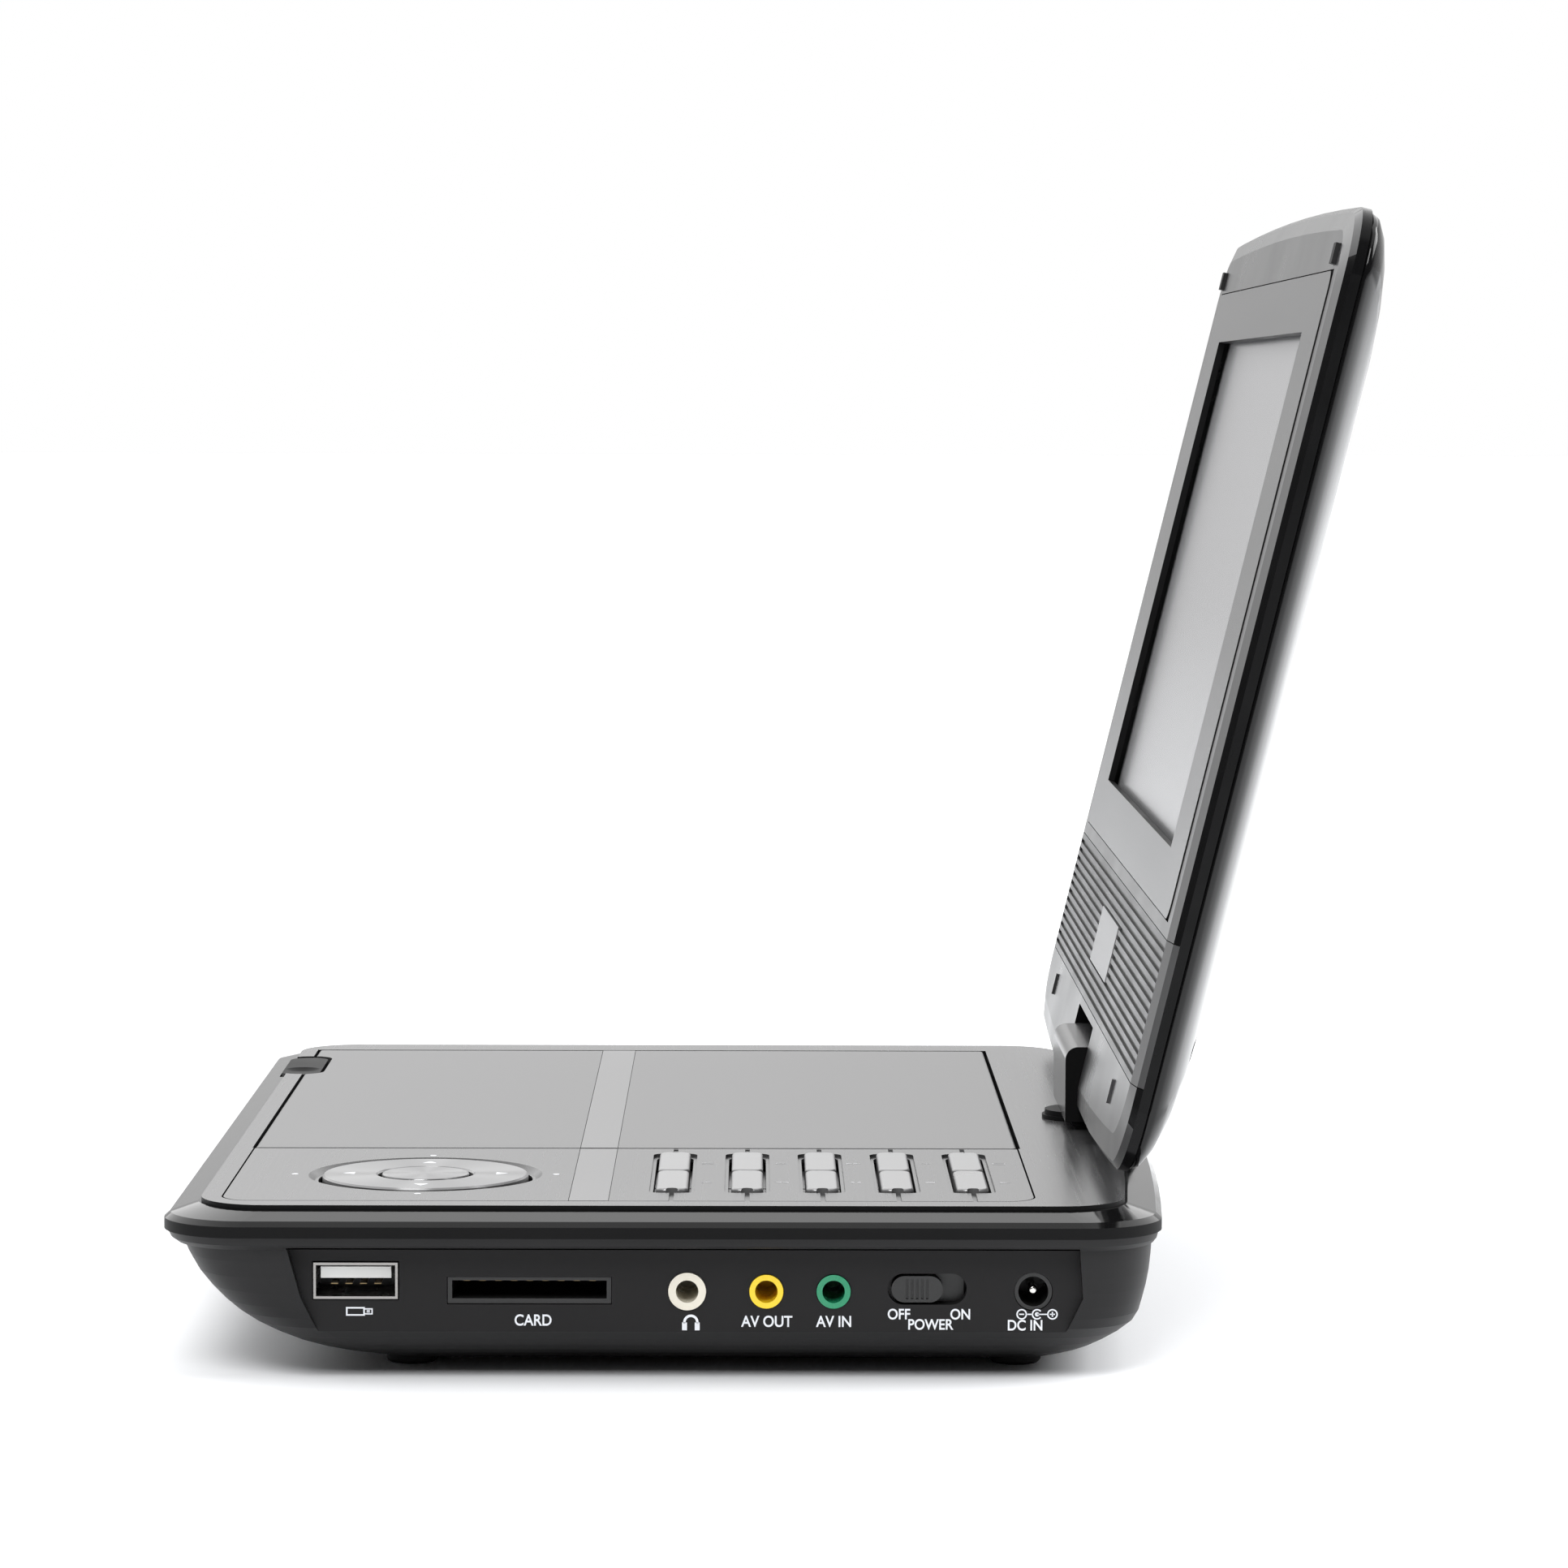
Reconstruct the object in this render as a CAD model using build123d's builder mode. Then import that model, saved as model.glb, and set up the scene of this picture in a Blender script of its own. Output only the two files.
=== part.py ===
"""A portable disc player with a seven-inch screen on a swivelling hinge.

X runs across the player towards its socket side, Y from the front edge to the hinge and
Z up. The origin lies on the table under the middle of the opened player. Millimetres.
"""
from build123d import *
from math import cos, radians, sin
import os

os.makedirs("parts", exist_ok=True)

# ---------------------------------------------------------------- driving sizes
HALF_WIDTH = 111.0        # rim of the base and of the lid
BASE_DEPTH = 159.0        # front rim to rear rim, at the corners
REAR_BOW = 4.5            # how far the rear rim bulges at the middle
CORNER = 13.0             # plan radius of the rim
FRONT = -97.3             # y of the base's front rim
REAR = FRONT + BASE_DEPTH

FOOT = 1.7                # the underside stands this far off the table
PARTING = 23.5            # joint between the two housing halves
RIM_TOP = 25.3            # top of the upright rim band
BEVEL_LOW, BEVEL_HIGH = 26.1, 27.3
TOP = 28.0                # brushed top of the base
WALL = 2.0
TOP_WALL = 2.4

OPEN_ANGLE = 103.8        # lid at rest, from closed
LEAN = radians(OPEN_ANGLE - 90)
HINGE_Y = FRONT + 156.7
HINGE_Z = TOP + 6.6
HINGE_TO_FACE = 5.6       # hinge axis behind the lid's inner face
PIN_R = 2.5

DOOR_X = (-96.2, 40.2)
DOOR_Y = (FRONT + 9.1, FRONT + 139.6)
DOOR_THICK = 1.8
GAP = 0.4
SPINDLE = (-28.0, FRONT + 74.4)

PANEL_X = (40.9, 100.6)
PANEL_THICK = 1.2
PAD_CENTRE = (71.3, FRONT + 40.2)
KEY_Y = [FRONT + 81.2 + 12.2 * i for i in range(5)]
KEY_X = (58.5, 79.9)      # middles of the inner and the outer key of each pair
KEY_SIZE = (20.6, 5.2)
POCKET_DEPTH = 0.5
STRIPE_Y = FRONT + 68.0
STRIPE_WIDTH = 6.5

SOCKET_FACE = 106.2       # x of the flat socket panel
BOARD_TOP = 11.4
JACK_Z = 14.4
USB_Y, USB_Z = FRONT + 31.2, 16.05
CARD_Y, CARD_Z = FRONT + 58.8, 14.55
PHONES_Y = FRONT + 83.9
AV_OUT_Y = FRONT + 96.5
AV_IN_Y = FRONT + 107.2
SWITCH_Y, SWITCH_Z = FRONT + 122.1, 14.8
DC_Y = FRONT + 139.0
JACK_BORE_R = 1.8
PHONES_R, AV_R = 3.0, 2.7  # barrels of the round sockets

TURRET_Y = FRONT + 152.5  # swivel axis
TURRET_R = 6.5
BOSS_R = 8.8
SHAFT_R = 4.5
CABLE_BORE_R = 2.5        # the screen's cable runs up through the shaft
FIT = 0.06                # radial clearance of a running shaft

# the lid's own plane: on its inner face, level with the hinge, x across, y up the lid
LID = Plane(
    origin=(0, HINGE_Y - HINGE_TO_FACE * cos(LEAN), HINGE_Z + HINGE_TO_FACE * sin(LEAN)),
    x_dir=(1, 0, 0),
    z_dir=(0, -cos(LEAN), sin(LEAN)),
)
LID_BOTTOM, LID_TOP = -1.6, 155.2     # corners of the lid, up the lid from the hinge
LID_BOW = 3.6
LID_SPLIT = -3.4          # joint between lid frame and back cover
GRILLE = (12.2, 35.8)     # ribbed strip, up the lid
BEZEL = (38.4, 144.7)
SCREEN = (154.1, 86.6)
SCREEN_MIDDLE = 48.4 + SCREEN[1] / 2
NOTCH_HALF, NOTCH_TOP = 19.0, 10.7
NECK_HALF = 18.0
BACK_DEPTH = -11.4        # deepest point of the back cover
LID_SCREWS = [(-96, 18), (96, 18), (-92, 138), (92, 138)]
SCREW_SEAT = -6.4         # underside of the lid screws' heads


def save(part, name):
    """Labels a finished piece and writes it to its own file."""
    part.label = name
    export_step(part, f"parts/{name}.step")


def outline(front, rear, half_width, radius, bow):
    """A rounded rectangle in plan whose rear side bulges by bow."""
    with BuildSketch(mode=Mode.PRIVATE) as shape:
        with BuildLine():
            Polyline((half_width, rear), (half_width, front), (-half_width, front), (-half_width, rear))
            ThreePointArc((-half_width, rear), (0, rear + bow), (half_width, rear))
        make_face()
        fillet(shape.vertices(), radius)
    return shape.sketch


def base_outline(inset, front_inset=None, rear_inset=None):
    """The base in plan, drawn in from its rim."""
    front_inset = inset if front_inset is None else front_inset
    rear_inset = inset if rear_inset is None else rear_inset
    radius = max(CORNER - inset * 0.4, 6)
    return outline(FRONT + front_inset, REAR - rear_inset, HALF_WIDTH - inset, radius, REAR_BOW)


def lid_outline(inset, top_inset=None):
    """The lid seen along its own plane; its hinge edge and its top edge bulge."""
    top_inset = inset if top_inset is None else top_inset
    width = HALF_WIDTH - inset
    bottom, top = LID_BOTTOM + inset, LID_TOP - top_inset
    with BuildSketch(mode=Mode.PRIVATE) as shape:
        with BuildLine():
            Line((width, bottom), (width, top))
            ThreePointArc((width, top), (0, top + 1.5), (-width, top))
            Line((-width, top), (-width, bottom))
            ThreePointArc((-width, bottom), (0, bottom - LID_BOW), (width, bottom))
        make_face()
        fillet(shape.vertices(), max(11.0 - inset * 0.4, 5))
    return shape.sketch


def span(low, high):
    """Middle and length of a range."""
    return (low + high) / 2, high - low


DOOR_MID_X, DOOR_WIDTH = span(*DOOR_X)
DOOR_MID_Y, DOOR_LENGTH = span(*DOOR_Y)
PANEL_MID_X, PANEL_WIDTH = span(*PANEL_X)
DOOR_HINGE = (DOOR_Y[1] - 1.0, TOP - 1.0)
LATCH = (-72.5, FRONT + 8.2)          # middle of the open button
LATCH_SIZE = (26.0, 7.2)
BOARD_POSTS = [(x, FRONT + y) for x in (52, 98) for y in (28, 141)]
CHASSIS_POSTS = [(x, SPINDLE[1] + y) for x in (-97, 3) for y in (-31, 35)]
CASE_POSTS = [(x, FRONT + y) for x in (-88, 42) for y in (30, 147)]
KEY_POSTS = [(x, FRONT + y) for x in (49, 97) for y in (18, 137)]
FEET = [(x, FRONT + y) for x in (-88, 88) for y in (39, 137)]

# ---------------------------------------------------------------- lower housing
# height, then how far the skin stands in from the rim at the sides, front and rear
SKIN = [
    (FOOT, 17.0, 34.5, 15.5),
    (3.2, 12.0, 27.0, 12.0),
    (5.2, 8.0, 20.5, 8.5),
    (8.5, 4.2, 14.2, 4.3),
    (12.0, 3.0, 9.6, 2.9),
    (16.8, 2.3, 5.4, 1.9),
    (21.4, 2.0, 3.0, 1.5),
]
# the same for the hollow inside
HOLLOW = [
    (3.7, 16.0, 33.0, 15.0),
    (5.2, 11.0, 25.0, 11.5),
    (7.2, 7.5, 19.0, 8.0),
    (9.6, 5.6, 14.6, 5.8),
    (12.6, 5.0, 11.4, 4.9),
    (17.0, 4.3, 7.6, 4.0),
    (PARTING, 4.0, 5.0, 3.6),
]
LIP = [(21.4, 1.6, 2.0, 1.2), (22.2, 0.8, 1.0, 0.7), (PARTING, 0.4, 0.4, 0.4)]


def halfway(before, low, high, after):
    """A level between two others, on a smooth curve that also passes through their neighbours."""
    return tuple((9 * (b + c) - a - d) / 16 for a, b, c, d in zip(before, low, high, after))


def refine(levels):
    """Twice as many levels along the same curve."""
    ends = [levels[0]] + levels + [levels[-1]]
    finer = []
    for index, level in enumerate(levels[:-1]):
        finer += [level, halfway(*ends[index:index + 4])]
    return finer + [levels[-1]]


def stack(levels):
    """A body through base outlines at several heights."""
    sections = [Pos(0, 0, z) * base_outline(side, ahead, behind) for z, side, ahead, behind in levels]
    return loft(sections, ruled=True, mode=Mode.PRIVATE)


def rim_step(low, low_inset, high, high_inset):
    """A sloping band of the rim between two heights."""
    sections = [Pos(0, 0, low) * base_outline(low_inset), Pos(0, 0, high) * base_outline(high_inset)]
    return loft(sections, ruled=True, mode=Mode.PRIVATE)


def bar(x, y, z):
    """A box given by its ranges along x, y and z."""
    (mid_x, long_x), (mid_y, long_y), (mid_z, long_z) = span(*x), span(*y), span(*z)
    return Pos(mid_x, mid_y, mid_z) * Box(long_x, long_y, long_z, mode=Mode.PRIVATE)


def rod_x(x, y, z, radius):
    """A round bar along X."""
    middle, length = span(*x)
    return Pos(middle, y, z) * Rot(0, 90, 0) * Cylinder(radius, length, mode=Mode.PRIVATE)


def post(place, z, radius):
    """An upright round bar."""
    middle, length = span(*z)
    return Pos(place[0], place[1], middle) * Cylinder(radius, length, mode=Mode.PRIVATE)


def lid_bar(x, up, out):
    """A box in the lid's own plane: across, up the lid, and out of its inner face."""
    return LID.location * bar(x, up, out)


def lid_disc(x, up, out, radius):
    """A round bar that stands square to the lid's inner face."""
    return LID.location * post((x, up), out, radius)


# ---------------------------------------------------------------- base, outer casing
skin = stack(refine(SKIN))
lip = stack(LIP)
hollow = stack(HOLLOW)

with BuildPart() as fittings:
    # thicker wall behind the sockets
    add(bar((SOCKET_FACE - 2.6, SOCKET_FACE + 1.5), (FRONT + 19, FRONT + 149), (7.0, 21.0)))
    # posts that carry the boards, the disc loader and the case screws
    for places, top, radius in ((BOARD_POSTS, BOARD_TOP - 1.6, 2.6), (CHASSIS_POSTS, 10.0, 3.4),
                                (CASE_POSTS, 18.0, 3.6)):
        for place in places:
            add(post(place, (3.2, top), radius))
    add(skin, mode=Mode.INTERSECT)

with BuildPart() as lower_housing:
    add(skin)
    add(lip)
    add(hollow, mode=Mode.SUBTRACT)
    add(fittings.part)
    # the flat socket panel is sunk into the rounded side
    with BuildSketch(Plane.YZ.offset(SOCKET_FACE)) as panel_cut:
        with BuildLine():
            Polyline((FRONT + 20.4, 21.8), (FRONT + 22.6, 13.6), (FRONT + 27.5, 3.0),
                     (FRONT + 142, 3.0), (FRONT + 146.8, 13.6), (FRONT + 146.2, 21.8), close=True)
        make_face()
        fillet(panel_cut.vertices().group_by(Axis.Y)[0], 1.5)
    extrude(amount=10, mode=Mode.SUBTRACT)
    # openings for the sockets and the switch
    add(bar((95, 112), (USB_Y - 6.9, USB_Y + 6.9), (USB_Z - 3.1, USB_Z + 3.1)), mode=Mode.SUBTRACT)
    add(bar((95, 112), (CARD_Y - 13.1, CARD_Y + 13.1), (CARD_Z - 2.3, CARD_Z + 2.1)),
        mode=Mode.SUBTRACT)
    for y, radius in ((PHONES_Y, PHONES_R), (AV_OUT_Y, AV_R), (AV_IN_Y, AV_R), (DC_Y, PHONES_R)):
        add(rod_x((95, 112), y, JACK_Z, radius + 0.1), mode=Mode.SUBTRACT)
    with BuildSketch(Plane.YZ.offset(95)):
        with Locations((SWITCH_Y, SWITCH_Z)):
            SlotOverall(12.6, 5.0)
    extrude(amount=17, mode=Mode.SUBTRACT)
    # screw wells under the case posts, and vent slots in the floor
    with BuildSketch(Plane.XY):
        with Locations(*CASE_POSTS):
            Circle(2.2)
    extrude(amount=6.0, mode=Mode.SUBTRACT)
    with BuildSketch(Plane.XY):
        with Locations(*CASE_POSTS):
            Circle(1.1)
    extrude(amount=15.0, mode=Mode.SUBTRACT)
    with BuildSketch(Plane.XY):
        with Locations((20, FRONT + 122)):
            with GridLocations(6, 1, 7, 1):
                SlotOverall(14, 2.0, rotation=90)
    extrude(amount=4.5, mode=Mode.SUBTRACT)
save(lower_housing.part, "lower_housing")

door_opening = bar((DOOR_X[0] - GAP, DOOR_X[1] + GAP), (DOOR_Y[0] - GAP, DOOR_Y[1] + 0.5), (20, 30))
DOOR_PIN_R = 0.7
key_spots = [(sum(KEY_X) / 2, y) for y in KEY_Y]

with BuildPart() as upper_housing:
    # upright rim, rounded edge, polished bevel, and the raised brushed field
    with BuildSketch(Plane.XY.offset(PARTING)):
        add(base_outline(0))
    extrude(amount=RIM_TOP - PARTING)
    add(rim_step(RIM_TOP, 0, BEVEL_LOW, 0.9))
    add(rim_step(BEVEL_LOW, 0.9, BEVEL_HIGH, 5.2))
    with BuildSketch(Plane.XY.offset(BEVEL_LOW)):
        add(base_outline(5.6))
    extrude(amount=TOP - BEVEL_LOW)
    # round boss under the turret
    with BuildSketch(Plane.XY.offset(PARTING)):
        with Locations((0, TURRET_Y)):
            Circle(BOSS_R)
    extrude(amount=TOP - PARTING)
    # hollow underneath
    with BuildSketch(Plane.XY.offset(PARTING)):
        add(base_outline(WALL + 0.4))
    extrude(amount=TOP - TOP_WALL - PARTING, mode=Mode.SUBTRACT)
    add(door_opening, mode=Mode.SUBTRACT)
    # seat of the control panel
    with BuildSketch(Plane.XY.offset(TOP - PANEL_THICK)):
        with Locations((PANEL_MID_X, DOOR_MID_Y)):
            RectangleRounded(PANEL_WIDTH, DOOR_LENGTH + 0.4, 5)
        with Locations((PANEL_X[0] + 3, DOOR_MID_Y)):
            Rectangle(8, DOOR_LENGTH + 0.4)
    extrude(amount=5, mode=Mode.SUBTRACT)
    with BuildSketch(Plane.XY.offset(20)):
        with Locations(*key_spots):
            SlotOverall(KEY_SIZE[0] * 2 + 1.6, KEY_SIZE[1] + 1.0)
        with Locations(PAD_CENTRE):
            Circle(17.7)
    extrude(amount=10, mode=Mode.SUBTRACT)
    # pocket of the open button, swivel hole, hinge holes of the door
    with BuildSketch(Plane.XY.offset(20)):
        with Locations(LATCH):
            SlotOverall(LATCH_SIZE[0] + 1.0, LATCH_SIZE[1] + 1.0)
        with Locations((0, TURRET_Y)):
            Circle(SHAFT_R + FIT)
    extrude(amount=10, mode=Mode.SUBTRACT)
    add(rod_x((DOOR_X[0] - 2.2, DOOR_X[1] + 2.2), *DOOR_HINGE, DOOR_PIN_R + FIT), mode=Mode.SUBTRACT)
    with BuildSketch(Plane.XY.offset(22.0)):
        with Locations(*KEY_POSTS):
            Circle(2.0)
    extrude(amount=TOP - TOP_WALL - 22.0)
    # posts that meet the lower ones
    with BuildSketch(Plane.XY.offset(18.0)):
        with Locations(*CASE_POSTS[1:4:2]):
            Circle(3.0)
    extrude(amount=TOP - TOP_WALL - 18.0)
save(upper_housing.part, "upper_housing")

with BuildPart() as control_panel:
    with BuildSketch(Plane.XY.offset(TOP - PANEL_THICK)):
        with Locations((PANEL_MID_X, DOOR_MID_Y)):
            RectangleRounded(PANEL_WIDTH - 0.6, DOOR_LENGTH - 0.2, 4.7)
        with Locations((PANEL_X[0] + 3.3, DOOR_MID_Y)):
            Rectangle(6, DOOR_LENGTH - 0.2)
    extrude(amount=PANEL_THICK)
    with BuildSketch(Plane.XY.offset(20)):
        with Locations(*key_spots):
            SlotOverall(KEY_SIZE[0] * 2 + 1.6, KEY_SIZE[1] + 1.0)
        with Locations(PAD_CENTRE):
            Circle(17.7)
    extrude(amount=10, mode=Mode.SUBTRACT)
    # shallow pocket around each pair of keys
    with BuildSketch(Plane.XY.offset(TOP)):
        with Locations(*key_spots):
            RectangleRounded(KEY_SIZE[0] * 2 + 3.4, KEY_SIZE[1] + 2.2, 1.8)
    extrude(amount=-POCKET_DEPTH, mode=Mode.SUBTRACT)
    # funnel around the navigation ring, and a shallow seat for the stripe
    with BuildSketch(Plane.XY.offset(TOP)):
        with Locations(PAD_CENTRE):
            Circle(19.3)
    extrude(amount=-0.9, taper=50, mode=Mode.SUBTRACT)
    add(bar(PANEL_X, (STRIPE_Y - STRIPE_WIDTH / 2, STRIPE_Y + STRIPE_WIDTH / 2),
            (TOP - 0.4, TOP + 1)), mode=Mode.SUBTRACT)
    # ticks that lead from each pair of keys to the panel's edges
    for y in KEY_Y:
        add(bar((PANEL_X[0] - 1, 47), (y - 0.4, y + 0.4), (TOP - 0.4, TOP + 1)), mode=Mode.SUBTRACT)
        add(bar((91, PANEL_X[1] + 1), (y - 0.4, y + 0.4), (TOP - 0.4, TOP + 1)), mode=Mode.SUBTRACT)
    add(rod_x((DOOR_X[1], DOOR_X[1] + 2.2), *DOOR_HINGE, DOOR_PIN_R + FIT), mode=Mode.SUBTRACT)
save(control_panel.part, "control_panel")

with BuildPart() as panel_stripe:
    add(bar((PANEL_X[0] + 0.3, PANEL_X[1] - 0.5),
            (STRIPE_Y - STRIPE_WIDTH / 2 + 0.1, STRIPE_Y + STRIPE_WIDTH / 2 - 0.1), (TOP - 0.4, TOP)))
save(panel_stripe.part, "panel_stripe")

with BuildPart() as rubber_feet:
    with BuildSketch():
        with Locations(*FEET):
            Circle(4.2)
    extrude(amount=FOOT)
    chamfer(rubber_feet.edges().group_by(Axis.Z)[0], 0.5)
save(rubber_feet.part, "rubber_feet")

with BuildPart() as case_screws:
    for x, y in CASE_POSTS:
        add(post((x, y), (4.6, 6.0), 2.0))
        add(post((x, y), (6.0, 14.0), 1.1))
        add(post((x, y), (4.5, 5.4), 0.7), mode=Mode.SUBTRACT)
save(case_screws.part, "case_screws")

# ---------------------------------------------------------------- disc door and its button
with BuildPart() as disc_door:
    with BuildSketch(Plane.XY.offset(TOP - DOOR_THICK)):
        with Locations((DOOR_MID_X, DOOR_MID_Y)):
            RectangleRounded(DOOR_WIDTH, DOOR_LENGTH, 1.0)
        with Locations(LATCH):
            SlotOverall(LATCH_SIZE[0] + 1.6, LATCH_SIZE[1] + 1.6, mode=Mode.SUBTRACT)
    extrude(amount=DOOR_THICK)
    fillet(disc_door.edges().filter_by(Axis.X).group_by(Axis.Y)[-1], 0.5)
    add(bar((DOOR_X[0] - 1, DOOR_X[1] + 1), (STRIPE_Y - STRIPE_WIDTH / 2, STRIPE_Y + STRIPE_WIDTH / 2),
            (TOP - 0.4, TOP + 1)), mode=Mode.SUBTRACT)
    add(rod_x((DOOR_X[0] - 1.8, DOOR_X[0] + 4), *DOOR_HINGE, DOOR_PIN_R))
    add(rod_x((DOOR_X[1] - 4, DOOR_X[1] + 1.8), *DOOR_HINGE, DOOR_PIN_R))
save(disc_door.part, "disc_door")

with BuildPart() as door_stripe:
    add(bar((DOOR_X[0] + 0.2, DOOR_X[1] - 0.2),
            (STRIPE_Y - STRIPE_WIDTH / 2 + 0.1, STRIPE_Y + STRIPE_WIDTH / 2 - 0.1), (TOP - 0.4, TOP)))
save(door_stripe.part, "door_stripe")

BUTTON_BOTTOM = 25.0
with BuildPart() as open_button:
    with BuildSketch(Plane.XY.offset(BUTTON_BOTTOM)):
        with Locations(LATCH):
            SlotOverall(*LATCH_SIZE)
    extrude(amount=TOP - 0.2 - BUTTON_BOTTOM)
    with Locations((LATCH[0] + 5, LATCH[1], TOP + 6.2)):
        Sphere(7.2, mode=Mode.SUBTRACT)
save(open_button.part, "open_button")

# ---------------------------------------------------------------- keys
def key(x, y, end):
    """One sprung key: a rounded cap, notched at its outward end, over a flange that stops it."""
    with BuildPart() as cap:
        with BuildSketch(Plane.XY.offset(24.4)):
            with Locations((x, y)):
                RectangleRounded(*KEY_SIZE, 1.6)
        extrude(amount=TOP + 0.5 - 24.4)
        fillet(cap.edges().group_by(Axis.Z)[-1], 0.5)
        add(post((x + end * (KEY_SIZE[0] / 2 + 0.2), y), (25.6, TOP + 1), 1.0), mode=Mode.SUBTRACT)
        with BuildSketch(Plane.XY.offset(24.4)):
            with Locations((x, y)):
                Rectangle(KEY_SIZE[0] - 0.2, KEY_SIZE[1] + 2.4)
        extrude(amount=0.9)
    return cap.part


for index, key_y in enumerate(KEY_Y, start=1):
    save(key(KEY_X[0], key_y, -1), f"inner_key_{index}")
    save(key(KEY_X[1], key_y, 1), f"outer_key_{index}")

with BuildPart() as nav_ring:
    with BuildSketch(Plane.XY.offset(24.4)):
        with Locations(PAD_CENTRE):
            Circle(17.0)
            Circle(7.9, mode=Mode.SUBTRACT)
    extrude(amount=TOP + 0.15 - 24.4)
    chamfer(nav_ring.edges().group_by(Axis.Z)[-1], 0.3)
    with BuildSketch(Plane.XY.offset(24.4)):
        with Locations(PAD_CENTRE):
            Circle(18.8)
            Circle(7.9, mode=Mode.SUBTRACT)
    extrude(amount=0.9)
save(nav_ring.part, "nav_ring")

with BuildPart() as nav_button:
    with BuildSketch(Plane.XY.offset(24.4)):
        with Locations(PAD_CENTRE):
            Circle(7.2)
    extrude(amount=TOP + 0.25 - 24.4)
    fillet(nav_button.edges().group_by(Axis.Z)[-1], 0.3)
save(nav_button.part, "nav_button")

PAD_SWITCHES = [(PAD_CENTRE[0] + x, PAD_CENTRE[1] + y) for x, y in ((12, 0), (-12, 0), (0, 12), (0, -12))]
SWITCH_SPOTS = [(x, y) for x in KEY_X for y in KEY_Y] + PAD_SWITCHES + [PAD_CENTRE]
with BuildPart() as key_board:
    add(bar((46.5, 99.5), (FRONT + 15.5, FRONT + 140), (20.4, 22.0)))
    # soldered dome switches
    for spot in SWITCH_SPOTS:
        add(bar((spot[0] - 2.2, spot[0] + 2.2), (spot[1] - 2.2, spot[1] + 2.2), (22.0, 22.9)))
        add(post(spot, (22.9, 23.4), 1.2))
save(key_board.part, "key_board")

# ---------------------------------------------------------------- disc loader
with BuildPart() as disc_tray:
    add(bar((DOOR_X[0] - 1.9, DOOR_X[1] + 1.4), (DOOR_Y[0] - 1.6, DOOR_Y[1] + 1.9), (18.8, 25.6)))
    add(post(SPINDLE, (20.4, 30), 62.5), mode=Mode.SUBTRACT)
    # raised rim inside the label area, hub hole and slot for the pick-up
    add(post(SPINDLE, (10, 30), 16.0), mode=Mode.SUBTRACT)
    with BuildSketch(Plane.XY.offset(10)):
        with Locations((SPINDLE[0] - 34, SPINDLE[1])):
            SlotOverall(72, 19)
    extrude(amount=20, mode=Mode.SUBTRACT)
    # well for the open button
    with BuildSketch(Plane.XY.offset(20)):
        with Locations(LATCH):
            SlotOverall(LATCH_SIZE[0] + 2.0, LATCH_SIZE[1] + 2.0)
    extrude(amount=10, mode=Mode.SUBTRACT)
save(disc_tray.part, "disc_tray")

RAIL_Z = 15.6
RAIL_Y = [SPINDLE[1] - 20, SPINDLE[1] + 20]
RAIL_X = (-98.5, -41.0)
SCREW_Y = SPINDLE[1] + 28
SLED_X = SPINDLE[0] - 23.5
CHASSIS_X, CHASSIS_Y = (-101.0, 7.0), (SPINDLE[1] - 35, SPINDLE[1] + 39)

with BuildPart() as loader_chassis:
    add(bar(CHASSIS_X, CHASSIS_Y, (11.6, 12.8)))
    add(bar((-96, -44), (SPINDLE[1] - 10, SPINDLE[1] + 10), (11, 13)), mode=Mode.SUBTRACT)
    for x in (RAIL_X[0] + 1, RAIL_X[1] - 1):
        for y in RAIL_Y:
            add(bar((x - 1, x + 1), (y - 3.2, y + 3.2), (12.8, 17.8)))
    add(bar((-98.5, -96.5), (SCREW_Y - 2.6, SCREW_Y + 2.6), (12.8, 17.8)))
    for y in RAIL_Y:
        add(rod_x(RAIL_X, y, RAIL_Z, 1.5), mode=Mode.SUBTRACT)
    add(rod_x(RAIL_X, SCREW_Y, RAIL_Z, 1.25), mode=Mode.SUBTRACT)
    for spot in CHASSIS_POSTS:
        add(post(spot, (11, 13), 2.2), mode=Mode.SUBTRACT)
save(loader_chassis.part, "loader_chassis")

with BuildPart() as grommets:
    for spot in CHASSIS_POSTS:
        add(post(spot, (10.0, 11.6), 3.8))
        add(post(spot, (11.6, 12.8), 2.2))
        add(post(spot, (12.8, 14.0), 3.8))
        add(post(spot, (9, 15), 1.2), mode=Mode.SUBTRACT)
save(grommets.part, "grommets")

with BuildPart() as loader_screws:
    for spot in CHASSIS_POSTS:
        add(post(spot, (10.0, 14.0), 1.2))
        add(post(spot, (14.0, 15.2), 2.6))
save(loader_screws.part, "loader_screws")

with BuildPart() as spindle_motor:
    add(post(SPINDLE, (12.8, 18.2), 12.0))
    fillet(spindle_motor.edges().group_by(Axis.Z)[-1], 0.8)
    add(post(SPINDLE, (12, 19), 1.0 + 0.05), mode=Mode.SUBTRACT)
save(spindle_motor.part, "spindle_motor")

with BuildPart() as turntable:
    add(post(SPINDLE, (14.0, 19.0), 1.0))
    add(post(SPINDLE, (19.0, 21.6), 14.6))
    add(post(SPINDLE, (21.6, 24.2), 7.35))
    chamfer(turntable.edges().group_by(Axis.Z)[-1], 1.2)
    # three sprung balls that grip the disc
    with Locations((SPINDLE[0], SPINDLE[1], 23.0)):
        with PolarLocations(7.0, 3):
            Sphere(0.7)
save(turntable.part, "turntable")

with BuildPart() as guide_rods:
    for y in RAIL_Y:
        add(rod_x(RAIL_X, y, RAIL_Z, 1.5))
save(guide_rods.part, "guide_rods")

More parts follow.
